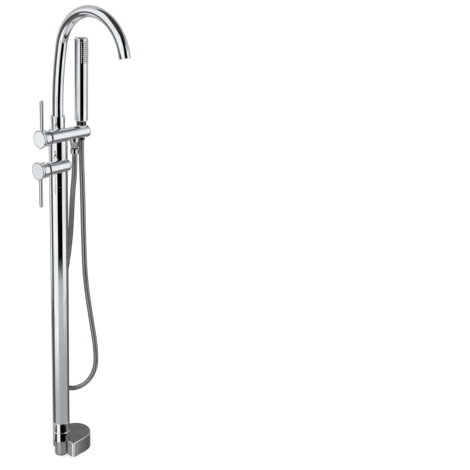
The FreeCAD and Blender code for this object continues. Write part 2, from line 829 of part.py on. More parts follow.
def loop_normal(points):
    """Level direction square to the loop, which no run of the hose comes near."""
    left = min(points, key=lambda point: point.x)
    right = max(points, key=lambda point: point.x)
    normal = (right - left).cross(Z)
    normal.normalize()
    return normal


def rib_circle(place, along, radius, normal):
    """Circle across the hose, its seam always on the same side."""
    side = normal - along * along.dot(normal)
    frame = FreeCAD.Placement(place, FreeCAD.Rotation(side, V(0, 0, 0), along, "ZXY"))
    circle = Part.makeCircle(radius)
    circle.Placement = frame
    return Part.Wire(circle)


def hose():
    points = hose_route()
    edges, radii = hose_wire(points)
    normal = loop_normal(points)
    lengths = [edge.length() for edge in edges]
    total = sum(lengths)
    pitch = total / hose_ribs
    stations = []
    rib_radii = (hose_root_radius, hose_radius, hose_radius, hose_root_radius)
    for rib in range(hose_ribs):
        for share, radius in zip(rib_shares, rib_radii):
            stations.append(((rib + share) * pitch, radius))
    stations.append((total, hose_root_radius))
    circles = []
    travelled = 0
    number = 0
    for distance, radius in stations:
        while number < len(edges) - 1 and distance > travelled + lengths[number]:
            travelled += lengths[number]
            number += 1
        edge = edges[number]
        at = edge.parameterAtDistance(distance - travelled, edge.FirstParameter)
        along = edge.tangent(at)[0]
        circles.append(rib_circle(edge.value(at), along, radius, normal))
    outside = Part.makeLoft(circles, True, True)
    path = Part.Wire([edge.toShape() for edge in edges])
    bore = swept(path, hose_bore_radius, points[0], -Z)
    solid = outside.cut(bore).Solids[0]
    print("hose length", round(total), "least bend radius", round(min(radii), 1))
    print("hose bends", [round(radius) for radius in radii])
    mean_square = (hose_radius ** 2 + hose_root_radius ** 2) / 2
    print("hose volume", round(solid.Volume), "section by length",
          round(math.pi * (mean_square - hose_bore_radius ** 2) * total))
    return solid


save("floor_plate", floor_plate())
save("base_cover", base_cover())
save("standpipe", standpipe())
save("base_screws", base_screws())
save("inlet_block", inlet_block())
save("hot_pipe", supply_pipe(-1))
save("cold_pipe", supply_pipe(1))
save("lower_collar", collar(cover_height))
save("upper_collar", upper_collar())
save("collar_screw", collar_screw())
save("column_bush", ring(column_bore - fit_gap, neck_radius + fit_gap, bush_height, V(0, 0, collar_top), Z))
save("column_tube", ring(column_radius, column_bore, seam_height - collar_top, V(0, 0, collar_top), Z))
save("valve_body", valve_body())
save("spout_socket", spout_socket())
save("socket_screw", socket_screw())

gooseneck, spout_tip = spout_path()
save("spout_tube", spout_tube(gooseneck))
save("spout_spigot", spout_spigot())
save("spout_orings", spout_orings())
for name, shape in zip(("aerator_housing", "aerator_screen"), aerator(spout_tip)):
    save(name, shape)

save("mixer_cartridge", mixer_cartridge())
save("mixer_nut", mixer_nut())
save("mixer_carrier", mixer_carrier())
save("mixer_pin", mixer_pin())
save("mixer_stem", mixer_stem())
save("diverter_cartridge", diverter_cartridge())
save("diverter_nut", diverter_nut())
save("diverter_stem", diverter_stem())
for prefix, near, height, up in (("mixer", upper_bar_near, upper_bar_height, 1),
                                 ("diverter", lower_bar_near, lower_bar_height, -1)):
    for name, shape in zip(("knob", "cap", "lever", "screw"), knob_parts(near, height, up)):
        save(prefix + "_" + name, shape)

save("outlet_nipple", outlet_nipple())
save("outlet_washer", outlet_washer())
save("outlet_nut", outlet_nut())
save("cradle_bush", cradle_bush())
save("hand_nut", hand_nut())
save("hand_washer", hand_washer())
save("hand_tail", hand_tail())
save("hand_tube", hand_tube())
save("spray_pad", spray_pad())
save("hand_cap", hand_cap())
save("hand_core", hand_core())
save("hose", hose())
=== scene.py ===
import json
import math

import bmesh
import bpy
from mathutils import Matrix, Vector


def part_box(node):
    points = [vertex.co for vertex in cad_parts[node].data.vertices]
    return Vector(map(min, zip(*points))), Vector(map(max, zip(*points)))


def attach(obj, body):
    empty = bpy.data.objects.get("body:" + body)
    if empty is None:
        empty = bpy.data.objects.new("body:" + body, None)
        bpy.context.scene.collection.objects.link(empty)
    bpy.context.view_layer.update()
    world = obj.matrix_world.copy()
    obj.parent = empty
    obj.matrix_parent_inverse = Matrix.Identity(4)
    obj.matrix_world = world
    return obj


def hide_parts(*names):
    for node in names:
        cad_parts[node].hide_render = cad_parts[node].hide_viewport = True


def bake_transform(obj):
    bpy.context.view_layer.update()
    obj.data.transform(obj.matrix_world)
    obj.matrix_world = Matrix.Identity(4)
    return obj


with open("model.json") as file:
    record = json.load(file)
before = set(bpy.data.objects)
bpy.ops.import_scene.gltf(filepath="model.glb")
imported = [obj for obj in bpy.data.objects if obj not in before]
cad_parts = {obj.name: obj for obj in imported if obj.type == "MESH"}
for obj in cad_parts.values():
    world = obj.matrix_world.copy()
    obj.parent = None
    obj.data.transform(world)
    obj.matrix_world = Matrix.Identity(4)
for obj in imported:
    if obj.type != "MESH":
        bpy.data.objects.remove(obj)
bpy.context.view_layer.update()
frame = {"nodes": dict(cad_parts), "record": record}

record = frame["record"]
body_of = {node: body for body, members in record["behaviour"]["bodies"].items() for node in members}
slot_of = {row["node"]: row["material_slot"] for row in record["subparts"]}

# Directions of the shared frame: the spout points along SPOUT, the bars run along BAR
SPOUT = Vector((1, 0, 0))
BAR = Vector((0, 1, 0))
UP = Vector((0, 0, 1))

# Camera, fitted to the photograph: metres and degrees, with the lens and sensor in millimetres
camera_azimuth = 49.375
camera_distance = 1.79998
camera_height = 1.23332
camera_yaw = -12.336
camera_pitch = 20.191
camera_roll = 3.694
camera_lens = 65.82
camera_sensor = 36

# Metres: edges and walls that the frame's boxes don't give
fine_edge = 0.0003
soft_edge = 0.0006
body_edge = 0.002
bar_end_round = 0.006
column_wall = 0.002
bar_radius = 0.0135
bar_wall = 0.003
chamber_depth = 0.0355
lower_bar_far = 0.0105
groove = 0.0034
groove_radius = 0.0122
collar_chamfer = 0.0012
cover_wall = 0.0025
cover_edge = 0.0015
cover_corner = 0.0045
cover_gap = 0.0022
neck_foot = 0.002
fit_gap = 0.0001
grub_radius = 0.002
turn_gap = 0.0003
inset = 0.00005
socket_floor = 0.0033
socket_hole = 0.008
socket_screw_start = 0.010
water_bore = 0.0035
cut_margin = 0.004

# Smoothness: edges over the sharp angle, in degrees, stay sharp, a flat starts hold_share eases away from
# its corner, and a ring under the least radius is a single point
sharp_angle = 35.0
hose_sharp_angle = 60.0
hold_share = 1.2
least_radius = 1e-7
ease_steps = 6
corner_steps = 10
cover_back_steps = 64
riser_steps = 40
crown_steps = 160
spray_steps = 24
hose_route_steps = 48
hose_route_order = 3

# Sides of round pieces
column_sides = 160
knob_sides = 128
tube_sides = 96
chamber_sides = 64
screw_sides = 48
hose_sides = 18
nozzle_sides = 12
hexagon_sides = 6

# Knobs, levers and screws
skirt_radius = 0.0165
skirt_wall = 0.002
knob_rim = 0.003
knob_flare = 0.005
knob_chamfer = 0.0005
knob_front_wall = 0.003
cap_groove = 0.0003
hub_radius = 0.006
hub_length = 0.011
stem_radius = 0.003
set_screw_back = 0.012
set_screw_radius = 0.0015
screw_socket_share = 0.5
screw_socket_start_share = 0.6
lever_tip_share = 0.999

# Spout
spout_wall = 0.0015
riser_height = 0.010
riser_lean = 0.012
crown_radius = 0.091
crown_rise = 0.1215
tip_angle = math.radians(14.5)
tip_straight = 0.010

# Hose outlet under the upper bar
outlet_foot_radius = 0.0078
outlet_straight = 0.004
outlet_bevel = 0.0012
outlet_saddle_length = 0.1

# Hand shower
hand_wall = 0.0015
hand_cap_round = 0.003
tail_chamfer = 0.0015
cradle_mouth = 0.0093
cradle_throat = 0.008
cradle_sleeve = 0.010
cradle_flat_share = 0.8
nut_gap = 0.0004
nut_narrow = 0.0002
tail_thread = 0.015
spray_half_angle = math.radians(50)
spray_rows = 11
spray_columns = 5
spray_width_share = 0.8
pad_rise = 0.0003
nozzle_radius = 0.00115
nozzle_height = 0.0008
nozzle_tip_share = 0.8
nozzle_round_share = 0.3
nozzle_hole_share = 0.4
nozzle_depth_share = 0.5

# Hose, with its route as the solid has it
hose_radius = 0.006
hose_root_radius = 0.0058
hose_bore_radius = 0.004
hose_rib_pitch = 0.0024
rib_shares = (0.0, 0.14, 0.44, 0.74, 0.88)
hose_route = [
    (0.0200, 0.0280, 0.7432), (0.0200, 0.0280, 0.7050), (0.0060, 0.0330, 0.6450),
    (-0.0090, 0.0405, 0.5300), (-0.0300, 0.0330, 0.4000), (-0.0440, 0.0270, 0.2850),
    (-0.0475, 0.0245, 0.2250), (-0.0485, 0.0237, 0.1720), (-0.0166, 0.0411, 0.1475),
    (0.0122, 0.0695, 0.1640), (0.0286, 0.0856, 0.2080), (0.0280, 0.0830, 0.2700),
    (0.0250, 0.0700, 0.3500), (0.0230, 0.0554, 0.4450), (0.0220, 0.0515, 0.5400),
    (0.0210, 0.0495, 0.6550), (0.0200, 0.0470, 0.7300), (0.0200, 0.0470, 0.7710),
]

# Patterns of the finishes: scales per metre, heights in metres, and the noise levels that a step runs between
rich_detail = 5.0
mottle_detail = 4.0
usual_detail = 3.0
plain_detail = 2.0
haze_scale = 34.0
haze_limits = (0.5, 0.72)
haze_share = 0.6
wipe_scale = (420, 420, 30)
wipe_roughness = 0.012
spot_scale = 170.0
spot_limits = (0.16, 0.1)
spot_patch_scale = 22.0
spot_patch_limits = (0.56, 0.66)
spot_share = 0.4
spot_roughness = 0.08
ripple_scale = 90.0
ripple_height = 0.0004
film_scale = 60.0
film_limits = (0.35, 0.7)
film_roughness = 0.12
tool_line_scale = (120, 120, 3200)
tool_line_height = 0.0002
tool_line_depth = 0.12
mottle_scale = 140.0
mottle_limits = (0.35, 0.75)
mottle_roughness = 0.12
grain_scale = 2600.0
grain_height = 0.0001
grain_depth = 0.15

# How far the shading of a finish leans, as its rise per metre along each axis
collar_lean = (0, 0, 0.06)
spout_lean = (0.12, 0.04, -0.13)
cap_lean = (0.115, 0, 0)
base_edge_lean = (-0.14, -0.16, -0.08)
base_wall_lean = (-0.14, -0.16, 0)
hand_lean = (-0.039, -0.046, 0)
lever_lean = (0.13, 0.15, 0)
outlet_lean = (-0.12, -0.14, 0)

# Cool tint of the chrome, the pale plastics and the mirrored room
cool = (0.985, 1.0, 1.015)

# Light: the floor, the lamp and the even light of the room
floor_half = 30
floor_paint = 0.86
floor_light = 0.3
lamp_size = 1.6
lamp_power = 14
lamp_place = (0.5, -0.9, 2.4)
lamp_target = (0, 0, 0.5)
room_light = 0.85


class Wire:
    """A shader socket; sums and products written with it become Math nodes."""

    def __init__(self, shader, socket):
        self.shader = shader
        self.socket = socket

    def math(self, operation, first, second):
        return self.shader.node("ShaderNodeMath", {"operation": operation}, {0: first, 1: second})

    def __add__(self, other):
        return self.math("ADD", self, other)

    def __radd__(self, other):
        return self.math("ADD", other, self)

    def __sub__(self, other):
        return self.math("SUBTRACT", self, other)

    def __rsub__(self, other):
        return self.math("SUBTRACT", other, self)

    def __mul__(self, other):
        return self.math("MULTIPLY", self, other)

    def __rmul__(self, other):
        return self.math("MULTIPLY", other, self)


class Shader:
    """One node tree, filled by calls and by expressions on its wires."""

    def __init__(self, tree):
        self.tree = tree
        tree.nodes.clear()

    def node(self, kind, settings=None, inputs=None, output=0):
        made = self.tree.nodes.new(kind)
        for key, value in (settings or {}).items():
            setattr(made, key, value)
        for key, value in (inputs or {}).items():
            if isinstance(value, Wire):
                self.tree.links.new(value.socket, made.inputs[key])
            else:
                made.inputs[key].default_value = value
        if not made.outputs:
            return made
        return Wire(self, made.outputs[output])

    def step(self, value, low, high):
        """Smooth step from none at low to one at high."""
        settings = {"interpolation_type": "SMOOTHSTEP"}
        return self.node("ShaderNodeMapRange", settings, {"Value": value, "From Min": low, "From Max": high})

    def noise(self, place, scale, detail=usual_detail):
        return self.node("ShaderNodeTexNoise", {}, {"Vector": place, "Scale": scale, "Detail": detail})

    def stretched_noise(self, place, scale):
        """Noise with a scale of its own along each axis."""
        return self.noise(self.node("ShaderNodeMapping", {}, {"Vector": place, "Scale": scale}), 1.0)

    def mix(self, share, first, last):
        """Colour between two colours."""
        return self.node("ShaderNodeMix", {"data_type": "RGBA"}, {0: share, 6: first, 7: last}, 2)

    def bump(self, settings):
        return self.node("ShaderNodeBump", {}, settings)


def new_material(name):
    material = bpy.data.materials.new(name)
    material.use_nodes = True
    return material, Shader(material.node_tree)


def finish_with(shader, settings):
    surface = shader.node("ShaderNodeBsdfPrincipled", {}, settings)
    shader.node("ShaderNodeOutputMaterial", {}, {"Surface": surface})


def grey(level, tint=(1.0, 1.0, 1.0)):
    return (level * tint[0], level * tint[1], level * tint[2], 1.0)


def plated(name, clean=0.90, dull=0.84, gloss=0.022, haze_gloss=0.045, ripple=0.05, lean=None):
    """Chrome plate: hazy wiping marks, dried water spots and the plating's faint ripple.

    A lean (rise per metre along each axis) tilts the shading alone and shifts what is mirrored.
    """
    material, shader = new_material(name)
    place = shader.node("ShaderNodeTexCoord", {}, {}, "Object")
    haze = shader.step(shader.noise(place, haze_scale, rich_detail), *haze_limits)
    wipes = shader.stretched_noise(place, wipe_scale)
    cells = shader.node("ShaderNodeTexVoronoi", {"feature": "F1"}, {"Vector": place, "Scale": spot_scale})
    patches = shader.step(shader.noise(place, spot_patch_scale), *spot_patch_limits)
    spots = shader.step(cells, *spot_limits) * patches
    colour = shader.mix(haze * haze_share + spots * spot_share, grey(clean, cool), grey(dull, cool))
    roughness = gloss + haze * haze_gloss + spots * spot_roughness + (wipes - 0.5) * wipe_roughness
    waves = shader.noise(place, ripple_scale, plain_detail)
    settings = {"Strength": ripple, "Distance": ripple_height, "Height": waves}
    if lean:
        along = {0: place, 1: lean}
        height = shader.node("ShaderNodeVectorMath", {"operation": "DOT_PRODUCT"}, along, "Value")
        settings["Normal"] = shader.bump({"Strength": 1.0, "Distance": 1.0, "Height": height})
    finish_with(shader, {"Base Color": colour, "Metallic": 1.0, "Roughness": roughness,
                         "Normal": shader.bump(settings)})
    return material


def brushed(name, clean, dull, gloss):
    """Turned or rolled metal with fine tool lines and a patchy film."""
    material, shader = new_material(name)
    place = shader.node("ShaderNodeTexCoord", {}, {}, "Object")
    film = shader.noise(place, film_scale, rich_detail)
    lines = shader.stretched_noise(place, tool_line_scale)
    colour = shader.mix(shader.step(film, *film_limits), clean, dull)
    bump = shader.bump({"Strength": tool_line_depth, "Distance": tool_line_height, "Height": lines})
    finish_with(shader, {"Base Color": colour, "Metallic": 1.0, "Roughness": gloss + film * film_roughness,
                         "Normal": bump})
    return material


def moulded(name, clean, dull, gloss):
    """Moulded plastic or rubber: mottled, with a fine grain."""
    material, shader = new_material(name)
    place = shader.node("ShaderNodeTexCoord", {}, {}, "Object")
    mottle = shader.noise(place, mottle_scale, mottle_detail)
    grain = shader.noise(place, grain_scale, plain_detail)
    colour = shader.mix(shader.step(mottle, *mottle_limits), clean, dull)
    bump = shader.bump({"Strength": grain_depth, "Distance": grain_height, "Height": grain})
    finish_with(shader, {"Base Color": colour, "Roughness": gloss + mottle * mottle_roughness,
                         "Normal": bump})
    return material


chrome = plated("polished_chrome")
collar_chrome = plated("collar_chrome", lean=collar_lean)
spout_chrome = plated("spout_chrome", lean=spout_lean)
cap_chrome = plated("cap_chrome", gloss=0.05, lean=cap_lean)
base_edge_chrome = plated("base_edge_chrome", 0.95, 0.88, 0.09, 0.05, lean=base_edge_lean)
base_wall_chrome = plated("satin_base_wall", 0.88, 0.78, 0.16, 0.10, 0.35, base_wall_lean)
# The cover's top: a rougher satin copy of the chrome, its colour also darkened as painted shade, far darker
# than the walls and edges
base_top_painted_shade = plated("satin_base_top_with_painted_shade", 0.36, 0.30, 0.52, 0.08, 0.20)
neck_chrome = plated("satin_neck_chrome", 0.62, 0.50, 0.45, 0.10, 0.35)
hand_chrome = plated("hand_chrome", lean=hand_lean)
lever_chrome = plated("lever_chrome", 0.78, 0.70, lean=lever_lean)
outlet_chrome = plated("outlet_chrome", 0.70, 0.60, 0.03, lean=outlet_lean)
spray_plate = plated("spray_plate_chrome", 0.46, 0.40, 0.06, 0.05, lean=hand_lean)
hose_chrome = plated("ribbed_hose_chrome", 0.42, 0.34, 0.07, 0.04, 0.02)
# Chrome darkened nearly to black as painted shade, for the hand shower's nut, which sits under the hand
# shower and over the bar
painted_shade_chrome = plated("painted_shade_nut_chrome", 0.10, 0.07, 0.10, 0.05)
steel = brushed("stainless_steel", grey(0.62), grey(0.50), 0.24)
brass = brushed("turned_brass", (0.74, 0.56, 0.27, 1.0), (0.58, 0.42, 0.19, 1.0), 0.24)
cartridge_plastic = moulded("cartridge_plastic", grey(0.78), grey(0.68), 0.42)
cradle_plastic = moulded("cradle_plastic", grey(0.55, cool), grey(0.48, cool), 0.25)
# Black seal rubber; it is also painted on as shade in the cover's gap round the neck, at the neck's foot and
# in the bars' end grooves
seal_rubber = moulded("black_seal_rubber_and_painted_shade", grey(0.022), grey(0.035), 0.55)
spray_rubber = moulded("pale_spray_rubber", grey(0.90, cool), grey(0.84, cool), 0.40)
finishes = {
    "chrome": chrome, "neck_chrome": neck_chrome, "hose_chrome": hose_chrome, "steel": steel,
    "brass": brass, "cartridge_plastic": cartridge_plastic, "cradle_plastic": cradle_plastic,
    "seal_rubber": seal_rubber, "spray_rubber": spray_rubber,
}


def half_width(node):
    low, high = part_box(node)
    return (high.x - low.x) / 2


def foot(node):
    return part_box(node)[0].z


def top(node):
    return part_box(node)[1].z


def middle(node):
    low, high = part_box(node)
    return (low + high) / 2


def eased(corners):
    """Points of a closed profile whose corners (radius, height, ease) are rounded by arcs."""
    points = []
    for number, (radius, height, ease) in enumerate(corners):
        place = Vector((radius, height))
        if ease == 0:
            points.append(place)
            continue
        back = (Vector(corners[number - 1][:2]) - place).normalized()
        ahead = (Vector(corners[(number + 1) % len(corners)][:2]) - place).normalized()
        weight = math.sin(back.angle(ahead) / 2)
        points.append(place + back * ease * hold_share)
        for step in range(ease_steps + 1):
            t = step / ease_steps
            shares = ((1 - t) ** 2, 2 * weight * t * (1 - t), t * t)
            start, end = place + back * ease, place + ahead * ease
            points.append((start * shares[0] + place * shares[1] + end * shares[2]) / sum(shares))
        points.append(place + ahead * ease * hold_share)
    return points


def new_piece(name, shape):
    """Object of a bmesh, smooth but for edges over the sharp angle."""
    bmesh.ops.recalc_face_normals(shape, faces=shape.faces)
    mesh = bpy.data.meshes.new(name)
    shape.to_mesh(mesh)
    shape.free()
    piece = bpy.data.objects.new(name, mesh)
    bpy.context.scene.collection.objects.link(piece)
    smooth(piece)
    return piece


def smooth(piece, sharp=sharp_angle):
    piece.data.shade_smooth()
    piece.data.set_sharp_from_angle(angle=math.radians(sharp))


def bridge(shape, rings, closed):
    """Faces between rings of points; a ring of one point is a tip."""
    following = rings[1:] + (rings[:1] if closed else [])
    for lower, upper in zip(rings, following):
        sides = max(len(lower), len(upper))
        if sides == 1:
            continue
        for side in range(sides):
            around = [lower[side % len(lower)], lower[(side + 1) % len(lower)],
                      upper[(side + 1) % len(upper)], upper[side % len(upper)]]
            shape.faces.new(list(dict.fromkeys(around)))


def turned(name, corners, base, axis, sides=tube_sides):
    """Piece turned about an axis through base, from its closed profile's corners."""
    shape = bmesh.new()
    rings = []
    for radius, height in eased(corners):
        count = sides if radius > least_radius else 1
        ring = []
        for side in range(count):
            turn = 2 * math.pi * side / count
            ring.append(shape.verts.new((radius * math.cos(turn), radius * math.sin(turn), height)))
        rings.append(ring)
    bridge(shape, rings, True)
    place = Matrix.Translation(base) @ UP.rotation_difference(axis).to_matrix().to_4x4()
    shape.transform(place)
    return new_piece(name, shape)


def rod(radius, base, axis, length, sides=screw_sides):
    """Plain round cutter."""
    corners = [(0, 0, 0), (radius, 0, 0), (radius, length, 0), (0, length, 0)]
    return turned("cutter", corners, base, axis, sides)


def combine(piece, other, operation):
    """Joins or cuts a piece by another, which is used up."""
    change = piece.modifiers.new(operation, "BOOLEAN")
    change.operation = operation
    change.object = other
    change.solver = "EXACT"
    shown = piece.evaluated_get(bpy.context.evaluated_depsgraph_get())
    mesh = bpy.data.meshes.new_from_object(shown)
    piece.modifiers.clear()
    piece.data = mesh
    bpy.data.objects.remove(other)
    smooth(piece)


def swept(name, stations, side, sides):
    """Tube through stations (centre, direction, radius), closed from its last ring to its first."""
    shape = bmesh.new()
    rings = []
    for centre, along, radius in stations:
        across = (side - along * along.dot(side)).normalized()
        other = along.cross(across)
        ring = []
        for number in range(sides):
            turn = 2 * math.pi * number / sides
            spoke = across * math.cos(turn) + other * math.sin(turn)
            ring.append(shape.verts.new(centre + spoke * radius))
        rings.append(ring)
    bridge(shape, rings, True)
    return new_piece(name, shape)


def stand_for(piece, node, finish=None):
    """Gives a piece the finish of the node that it stands for, or the one given, puts it on that node's body
    and hides the node.
    """
    piece.data.materials.clear()
    piece.data.materials.append(finish or finishes[slot_of[node]])
    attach(piece, body_of[node])
    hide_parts(node)
    return piece


def paint(piece, finish, chosen):
    """Gives the faces whose middle is chosen a finish of their own."""
    piece.data.materials.append(finish)
    for face in piece.data.polygons:
        if chosen(face.center):
            face.material_index = len(piece.data.materials) - 1


def ring_corners(outer, inner, low, high, ease):
    return [(inner, low, 0), (outer, low, ease), (outer, high, ease), (inner, high, 0)]


def bevelled_ring(node, outer, inner, bevel):
    """Corners of a ring as tall as a node, with its outer edges bevelled."""
    low, high = foot(node), top(node)
    return [(inner, low, 0), (outer - bevel, low, fine_edge), (outer, low + bevel, fine_edge),
            (outer, high - bevel, fine_edge), (outer - bevel, high, fine_edge), (inner, high, 0)]


def cover_ring(shape, inward, height):
    """One ring of points round the base's D plan, moved inward: flat front, round back."""
    low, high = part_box("base_cover")
    side = half_width("base_cover") - inward
    front = low.y + inward
    corner = cover_corner - inward
    back_centre = high.y - half_width("base_cover")
    points = []
    for number in range(cover_back_steps + 1):
        turn = math.pi * number / cover_back_steps
        points.append((side * math.cos(turn), back_centre + side * math.sin(turn)))
    for sign in (-1, 1):
        for number in range(corner_steps + 1):
            share = number / corner_steps
            turn = math.pi / 2 * (share if sign < 0 else 1 - share)
            x = sign * (side - corner + corner * math.cos(turn))
            points.append((x, front + corner - corner * math.sin(turn)))
    return [shape.verts.new((x, y, height)) for x, y in points]


def base_pieces():
    """Base cover, the neck in it and the two collars on the neck."""
    low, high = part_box("base_cover")
    shape = bmesh.new()
    rings = [cover_ring(shape, cover_wall, 0), cover_ring(shape, 0, 0)]
    rings.append(cover_ring(shape, 0, high.z - cover_edge * hold_share))
    for step in range(ease_steps + 1):
        turn = math.pi / 2 * step / ease_steps
        drop = cover_edge * (1 - math.sin(turn))
        rings.append(cover_ring(shape, cover_edge * (1 - math.cos(turn)), high.z - drop))
    rings.append(cover_ring(shape, cover_edge * hold_share, high.z))
    inner_top = cover_ring(shape, cover_wall, high.z - cover_wall)
    bridge(shape, rings, False)
    bridge(shape, [inner_top, rings[0]], False)
    shape.faces.new(rings[-1])
    shape.faces.new(inner_top)
    cover = new_piece("base_cover_polished", shape)
    neck = half_width("standpipe")
    under = Vector((0, 0, -body_edge))
    combine(cover, rod(neck + cover_gap, under, UP, high.z + 2 * body_edge, tube_sides), "DIFFERENCE")
    stand_for(cover, "base_cover", base_edge_chrome)
    paint(cover, base_wall_chrome, lambda place: place.z < high.z / 2 and (
        place.y > low.y + cover_corner or abs(place.x) < high.x - cover_corner))
    # Painted shade: the cover's top gets the darkened satin copy of the chrome
    paint(cover, base_top_painted_shade, lambda place: place.z > high.z - fit_gap)
    # Painted shade: the walls of the cover's gap round the neck get the black rubber, so the gap shows as a
    # black line
    paint(cover, seal_rubber, lambda place: place.xy.length < neck + cover_gap + fit_gap)

    neck_corners = [(0, 0, 0), (neck - soft_edge, 0, 0), (neck, neck_foot, fine_edge),
                    (neck, top("standpipe"), fine_edge), (0, top("standpipe"), 0)]
    pipe = stand_for(turned("standpipe_neck", neck_corners, Vector(), UP), "standpipe")
    # Painted shade: the neck below neck_foot gets the black rubber, as a dark contact shadow where it meets
    # the floor
    paint(pipe, seal_rubber, lambda place: place.z < neck_foot)

    outer = half_width("lower_collar")
    for node in ("lower_collar", "upper_collar"):
        corners = bevelled_ring(node, outer, neck + fit_gap, collar_chamfer)
        piece = turned(node + "_polished", corners, Vector(), UP, knob_sides)
        if node == "upper_collar":
            centre = Vector((-neck, 0, (foot(node) + top(node)) / 2))
            combine(piece, rod(grub_radius, centre, -SPOUT, outer), "DIFFERENCE")
        stand_for(piece, node, collar_chrome)


def grub_screw(node, axis):
    """Headless screw with a six-sided socket in its outer end."""
    low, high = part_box(node)
    size = high - low
    length = abs(size.dot(axis))
    radius = size.y / 2
    base = middle(node) - axis * length / 2
    corners = [(0, 0, 0), (radius, 0, 0), (radius, length, fine_edge / 2), (0, length, 0)]
    screw = turned(node + "_socketed", corners, base, axis, screw_sides)
    start = base + axis * length * screw_socket_start_share
    combine(screw, rod(radius * screw_socket_share, start, axis, length, hexagon_sides), "DIFFERENCE")
    stand_for(screw, node)


def cradle_flat():
    """Height of the flat on the upper bar that carries the cradle's flange."""
    return middle("mixer_knob").z + bar_radius * cradle_flat_share


def column_pieces():
    """Column, the valve body with its two bars, and the spout's socket."""
    radius = half_width("column_tube")
    corners = ring_corners(radius, radius - column_wall, foot("column_tube"), top("column_tube"), fine_edge)
    stand_for(turned("column_tube_polished", corners, Vector(), UP, column_sides), "column_tube")

    seam = top("column_tube")
    shoulder = foot("spout_socket")
    socket = half_width("spout_socket")
    trunk_corners = [(0, seam, 0), (radius, seam, fine_edge), (radius, shoulder, body_edge), (0, shoulder, 0)]
    trunk = turned("valve_body_polished", trunk_corners, Vector(), UP, column_sides)
    body_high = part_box("valve_body")[1]
    bar_x = body_high.x - bar_radius
    upper = middle("mixer_knob").z
    lower = middle("diverter_knob").z
    near_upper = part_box("mixer_nut")[0].y
    near_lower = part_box("diverter_nut")[0].y
    for near, far, height in ((near_upper, body_high.y, upper), (near_lower, lower_bar_far, lower)):
        reach = far - near
        corners = [(0, 0, 0), (groove_radius, 0, 0), (groove_radius, groove, 0),
                   (bar_radius, groove, fine_edge), (bar_radius, reach, bar_end_round), (0, reach, 0)]
        bar = turned("bar", corners, Vector((bar_x, near, height)), BAR, knob_sides)
        combine(trunk, bar, "UNION")
        mouth = Vector((bar_x, near - body_edge, height))
        chamber = rod(bar_radius - bar_wall, mouth, BAR, chamber_depth + body_edge, chamber_sides)
        combine(trunk, chamber, "DIFFERENCE")
    seat = Vector((0, 0, shoulder))
    combine(trunk, rod(socket + fit_gap, seat, UP, bar_radius, tube_sides), "DIFFERENCE")
    cradle = middle("cradle_bush")
    hole_foot = Vector((cradle.x, cradle.y, foot("cradle_bush") - body_edge))
    combine(trunk, rod(cradle_sleeve + fit_gap, hole_foot, UP, 3 * bar_radius, tube_sides), "DIFFERENCE")
    flat = Vector((cradle.x, cradle.y, cradle_flat()))
    combine(trunk, rod(half_width("cradle_bush") + fit_gap, flat, UP, bar_radius, tube_sides), "DIFFERENCE")
    stand_for(trunk, "valve_body")

    def in_groove(place):
        bars = ((near_upper, upper), (near_lower, lower))
        near, height = min(bars, key=lambda bar: abs(place.z - bar[1]))
        off_axis = Vector((place.x - bar_x, place.z - height)).length
        return place.y < near + groove + inset and off_axis < bar_radius - soft_edge

    # Painted shade: the faces in each bar's end groove get the black rubber, as the dark shadow gap beside
    # the knob
    paint(trunk, seal_rubber, in_groove)

    bore = -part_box("spout_tube")[0].x + turn_gap
    floor = shoulder + socket_floor
    rim = top("spout_socket")
    corners = [(socket_hole, shoulder, 0), (socket, shoulder, fine_edge), (socket, rim, soft_edge),
               (bore, rim, fine_edge), (bore, floor, 0), (socket_hole, floor, 0)]
    piece = turned("spout_socket_polished", corners, Vector(), UP, knob_sides)
    screw_start = Vector((-socket_screw_start, 0, middle("socket_screw").z))
    combine(piece, rod(grub_radius, screw_start, -SPOUT, socket), "DIFFERENCE")
    stand_for(piece, "spout_socket")


def spout_line():
    """Centre line of the spout as (point, direction): foot, gentle bend, crown and straight end."""
    riser_top = top("spout_socket") + riser_height
    bend = 2 * math.atan2(riser_lean, crown_rise)
    riser_radius = crown_rise / math.sin(bend) + crown_radius
    centre = Vector((riser_lean + crown_radius, 0, riser_top + crown_rise))
    line = [(Vector((0, 0, foot("spout_tube"))), UP.copy())]
    for step in range(riser_steps + 1):
        turn = bend * step / riser_steps
        point = Vector((riser_radius * (1 - math.cos(turn)), 0, riser_top + riser_radius * math.sin(turn)))
        line.append((point, Vector((math.sin(turn), 0, math.cos(turn)))))
    last = math.pi - tip_angle
    for step in range(1, crown_steps + 1):
        turn = bend + (last - bend) * step / crown_steps
        point = centre + Vector((-math.cos(turn), 0, math.sin(turn))) * crown_radius
        line.append((point, Vector((math.sin(turn), 0, math.cos(turn)))))
    point, direction = line[-1]
    line.append((point + direction * tip_straight, direction))
    return line


def spout_pieces():
    """Spout tube with a rounded lip."""
    line = spout_line()
    outer = -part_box("spout_tube")[0].x - inset
    inner = outer - spout_wall
    tip, along = line.pop()
    stations = [(point, direction, outer) for point, direction in line]
    half = spout_wall / 2
    for step in range(ease_steps + 1):
        turn = math.pi * step / ease_steps
        reach = half * math.sin(turn) - half
        stations.append((tip + along * reach, along, outer - half + half * math.cos(turn)))
    stations += [(point, direction, inner) for point, direction in reversed(line)]
    stand_for(swept("spout_tube_polished", stations, BAR, tube_sides), "spout_tube", spout_chrome)


